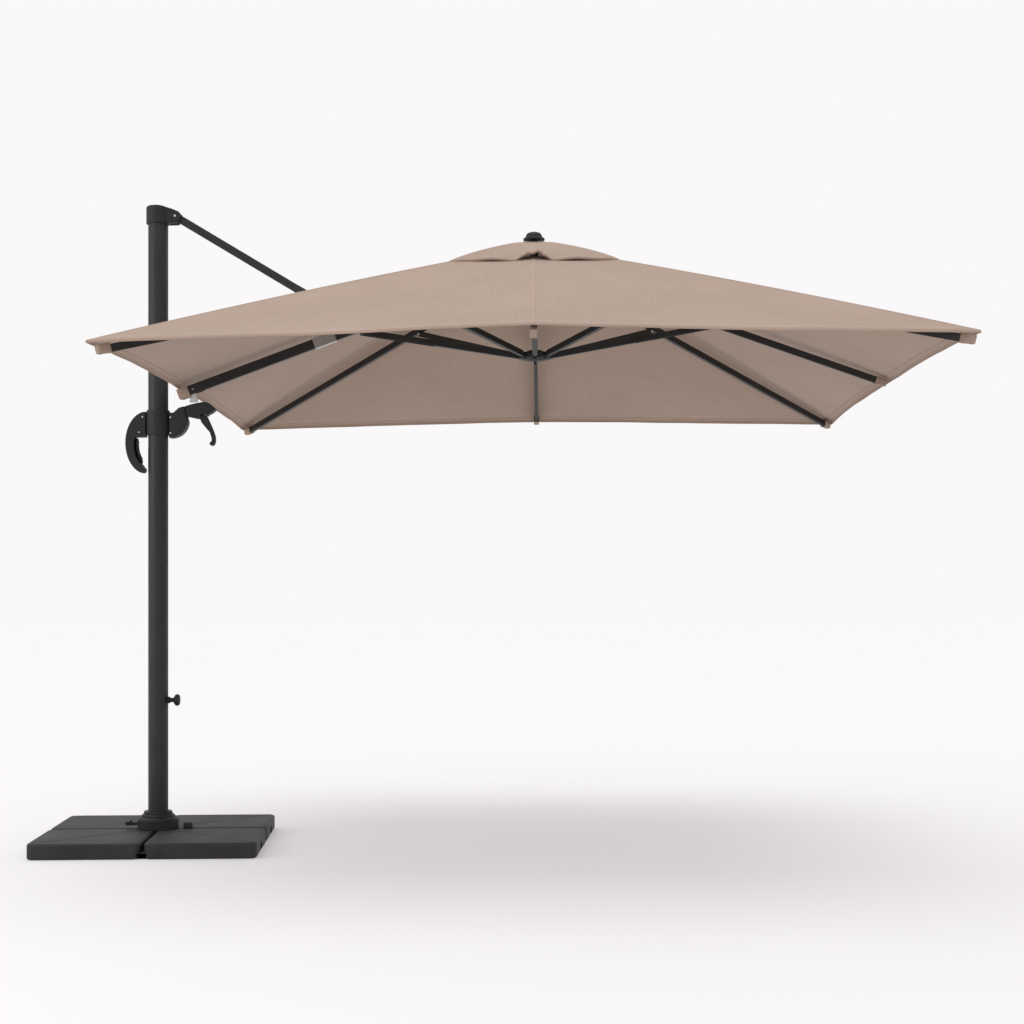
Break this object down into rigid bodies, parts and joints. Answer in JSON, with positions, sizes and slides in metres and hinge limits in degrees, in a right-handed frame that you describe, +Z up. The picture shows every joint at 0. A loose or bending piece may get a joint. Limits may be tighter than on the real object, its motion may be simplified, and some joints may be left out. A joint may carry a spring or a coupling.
{
  "type": "cantilever parasol",
  "caption": "Square cantilever parasol on a weighted swivel base, with a sliding carriage, a hinged boom and ribs that fold down beside the mast.",
  "frame": {"origin": "on the mast's axis, at the floor", "axes": "+Z up along the mast, +X from the mast towards the canopy's middle"},
  "size_m": [3.5895, 3, 2.704],
  "materials": {
    "powder_coat": "anthracite powder coat",
    "moulded_plastic": "fine textured",
    "ballast": "blow-moulded, matt",
    "steel": "zinc plated",
    "bare_aluminium": "satin",
    "fabric": "taupe woven polyester"
  },
  "bodies": {
    "base": {"cross_arm_long": "powder_coat", "cross_arm_wide": "powder_coat", "base_spigot": "steel", "base_bolt_1": "steel", "base_bolt_2": "steel", "base_bolt_3": "steel", "base_bolt_4": "steel", "swivel_housing": "moulded_plastic", "tile_front_left": "ballast", "tile_front_right": "ballast", "tile_back_left": "ballast", "tile_back_right": "ballast"},
    "pedal": {"foot_pedal": "moulded_plastic"},
    "mast": {"swivel_ring": "moulded_plastic", "mast_tube": "powder_coat", "spigot_bush": "moulded_plastic", "mast_cap": "moulded_plastic", "stay_pin": "steel", "knob_boss": "moulded_plastic"},
    "knob": {"lock_knob": "moulded_plastic"},
    "stay": {"stay_arm": "powder_coat"},
    "carriage": {"carriage_collar": "moulded_plastic", "handle_front_shell": "moulded_plastic", "handle_back_shell": "moulded_plastic", "carriage_bracket": "moulded_plastic", "tilt_head": "moulded_plastic", "boom_lug": "steel", "boom_bolt": "steel", "carriage_screw_1": "steel", "carriage_screw_2": "steel", "carriage_screw_3": "steel", "carriage_screw_4": "steel"},
    "trigger": {"release_trigger": "moulded_plastic"},
    "lever": {"tilt_lever": "moulded_plastic"},
    "boom": {"boom": "powder_coat", "stay_clevis": "powder_coat", "boom_sleeve": "bare_aluminium"},
    "crown": {"crown_hub": "moulded_plastic", "finial": "moulded_plastic", "canopy": "fabric", "vent_cap": "fabric"},
    "runner": {"runner_hub": "moulded_plastic", "runner_post": "bare_aluminium", "runner_cap": "moulded_plastic"},
    "rib_1": {"rib_1": "powder_coat"},
    "strut_1": {"strut_1": "powder_coat"},
    "rib_2": {"rib_2": "powder_coat"},
    "strut_2": {"strut_2": "powder_coat"},
    "rib_3": {"rib_3": "powder_coat"},
    "strut_3": {"strut_3": "powder_coat"},
    "rib_4": {"rib_4": "powder_coat"},
    "strut_4": {"strut_4": "powder_coat"},
    "strut_5": {"strut_5": "powder_coat"},
    "rib_6": {"rib_6": "powder_coat"},
    "strut_6": {"strut_6": "powder_coat"},
    "rib_7": {"rib_7": "powder_coat"},
    "strut_7": {"strut_7": "powder_coat"},
    "rib_8": {"rib_8": "powder_coat"},
    "strut_8": {"strut_8": "powder_coat"}
  },
  "joints": [
    {"name": "mast_swivel", "type": "hinge", "parent": "base", "child": "mast", "pos_m": [0, 0, 0.13], "axis": [0, 0, 1], "continuous": true},
    {"name": "pedal_press", "type": "hinge", "parent": "base", "child": "pedal", "pos_m": [-0.0798, -0.00572, 0.0865], "axis": [0.0715, -0.9974, 0], "range_deg": [0, 9], "stiffness_Nm_per_rad": 3, "springref_deg": -17.19},
    {"name": "knob_turn", "type": "hinge", "parent": "mast", "child": "knob", "pos_m": [0.06, 0, 0.61], "axis": [1, 0, 0], "range_deg": [-360, 0]},
    {"name": "carriage_slide", "type": "slide", "parent": "mast", "child": "carriage", "axis": [0, 0, -1], "range_m": [0, 0.85659]},
    {"name": "stay_swing", "type": "hinge", "parent": "mast", "child": "stay", "pos_m": [0.076, 0, 2.663], "axis": [0, 1, 0], "range_deg": [0, 54.23]},
    {"name": "trigger_squeeze", "type": "hinge", "parent": "carriage", "child": "trigger", "pos_m": [-0.0895, 0, 1.715], "axis": [0, 1, 0], "range_deg": [0, 4.5], "stiffness_Nm_per_rad": 1.5, "springref_deg": -17.19},
    {"name": "lever_pull", "type": "hinge", "parent": "carriage", "child": "lever", "pos_m": [0.196, 0, 1.806], "axis": [0, 1, 0], "range_deg": [0, 10], "stiffness_Nm_per_rad": 1.5, "springref_deg": -17.19},
    {"name": "boom_rise", "type": "hinge", "parent": "carriage", "child": "boom", "pos_m": [0.15, 0, 1.9298], "axis": [0, -1, 0], "range_deg": [0, 66.65]},
    {"name": "crown_level", "type": "hinge", "parent": "boom", "child": "crown", "pos_m": [1.553, 0, 2.45157], "axis": [0, 1, 0], "range_deg": [0, 66.65]},
    {"name": "runner_slide", "type": "slide", "parent": "crown", "child": "runner", "axis": [0.0096, 0, -1], "range_m": [0, 1.03687]},
    {"name": "rib_1_fold", "type": "hinge", "parent": "crown", "child": "rib_1", "pos_m": [1.643, 0, 2.45243], "axis": [0, 1, 0], "range_deg": [0, 66.65], "deforming": ["canopy", "vent_cap"]},
    {"name": "strut_1_fold", "type": "hinge", "parent": "runner", "child": "strut_1", "pos_m": [1.6567, 0, 2.06655], "axis": [0, -1, 0], "range_deg": [0, 78.93]},
    {"name": "rib_2_fold", "type": "hinge", "parent": "crown", "child": "rib_2", "pos_m": [1.62982, 0.03182, 2.4523], "axis": [-0.7071, 0.7071, -0.0068], "range_deg": [0, 71.4]},
    {"name": "strut_2_fold", "type": "hinge", "parent": "runner", "child": "strut_2", "pos_m": [1.64059, 0.03889, 2.06639], "axis": [0.7071, -0.7071, 0.0068], "range_deg": [0, 74.1]},
    {"name": "rib_3_fold", "type": "hinge", "parent": "crown", "child": "rib_3", "pos_m": [1.598, 0.045, 2.452], "axis": [-1, 0, -0.0096], "range_deg": [0, 66.65]},
    {"name": "strut_3_fold", "type": "hinge", "parent": "runner", "child": "strut_3", "pos_m": [1.6017, 0.055, 2.06602], "axis": [1, 0, 0.0096], "range_deg": [0, 78.93]},
    {"name": "rib_4_fold", "type": "hinge", "parent": "crown", "child": "rib_4", "pos_m": [1.56618, 0.03182, 2.45169], "axis": [-0.7071, -0.7071, -0.0068], "range_deg": [0, 71.4]},
    {"name": "strut_4_fold", "type": "hinge", "parent": "runner", "child": "strut_4", "pos_m": [1.56282, 0.03889, 2.06564], "axis": [0.7071, 0.7071, 0.0068], "range_deg": [0, 74.1]},
    {"name": "strut_5_fold", "type": "hinge", "parent": "runner", "child": "strut_5", "pos_m": [1.54671, 0, 2.06549], "axis": [0, 1, 0], "range_deg": [0, 79.92]},
    {"name": "rib_6_fold", "type": "hinge", "parent": "crown", "child": "rib_6", "pos_m": [1.56618, -0.03182, 2.45169], "axis": [0.7071, -0.7071, 0.0068], "range_deg": [0, 71.4]},
    {"name": "strut_6_fold", "type": "hinge", "parent": "runner", "child": "strut_6", "pos_m": [1.56282, -0.03889, 2.06564], "axis": [-0.7071, 0.7071, -0.0068], "range_deg": [0, 74.1]},
    {"name": "rib_7_fold", "type": "hinge", "parent": "crown", "child": "rib_7", "pos_m": [1.598, -0.045, 2.452], "axis": [1, 0, 0.0096], "range_deg": [0, 66.65]},
    {"name": "strut_7_fold", "type": "hinge", "parent": "runner", "child": "strut_7", "pos_m": [1.6017, -0.055, 2.06602], "axis": [-1, 0, -0.0096], "range_deg": [0, 78.93]},
    {"name": "rib_8_fold", "type": "hinge", "parent": "crown", "child": "rib_8", "pos_m": [1.62982, -0.03182, 2.4523], "axis": [0.7071, 0.7071, 0.0068], "range_deg": [0, 71.4]},
    {"name": "strut_8_fold", "type": "hinge", "parent": "runner", "child": "strut_8", "pos_m": [1.64059, -0.03889, 2.06639], "axis": [-0.7071, -0.7071, -0.0068], "range_deg": [0, 74.1]}
  ],
  "couplings": [
    {"joint": "stay_swing", "follows": "carriage_slide", "rad_per_m": 1.1049},
    {"joint": "boom_rise", "follows": "carriage_slide", "rad_per_m": 1.358},
    {"joint": "crown_level", "follows": "carriage_slide", "rad_per_m": 1.358},
    {"joint": "runner_slide", "follows": "carriage_slide", "ratio": 1.2105},
    {"joint": "rib_1_fold", "follows": "carriage_slide", "rad_per_m": 1.358},
    {"joint": "strut_1_fold", "follows": "carriage_slide", "rad_per_m": 1.6083},
    {"joint": "rib_2_fold", "follows": "carriage_slide", "rad_per_m": 1.4548},
    {"joint": "strut_2_fold", "follows": "carriage_slide", "rad_per_m": 1.5098},
    {"joint": "rib_3_fold", "follows": "carriage_slide", "rad_per_m": 1.358},
    {"joint": "strut_3_fold", "follows": "carriage_slide", "rad_per_m": 1.6083},
    {"joint": "rib_4_fold", "follows": "carriage_slide", "rad_per_m": 1.4548},
    {"joint": "strut_4_fold", "follows": "carriage_slide", "rad_per_m": 1.5098},
    {"joint": "strut_5_fold", "follows": "carriage_slide", "rad_per_m": 1.6283},
    {"joint": "rib_6_fold", "follows": "carriage_slide", "rad_per_m": 1.4548},
    {"joint": "strut_6_fold", "follows": "carriage_slide", "rad_per_m": 1.5098},
    {"joint": "rib_7_fold", "follows": "carriage_slide", "rad_per_m": 1.358},
    {"joint": "strut_7_fold", "follows": "carriage_slide", "rad_per_m": 1.6083},
    {"joint": "rib_8_fold", "follows": "carriage_slide", "rad_per_m": 1.4548},
    {"joint": "strut_8_fold", "follows": "carriage_slide", "rad_per_m": 1.5098}
  ]
}
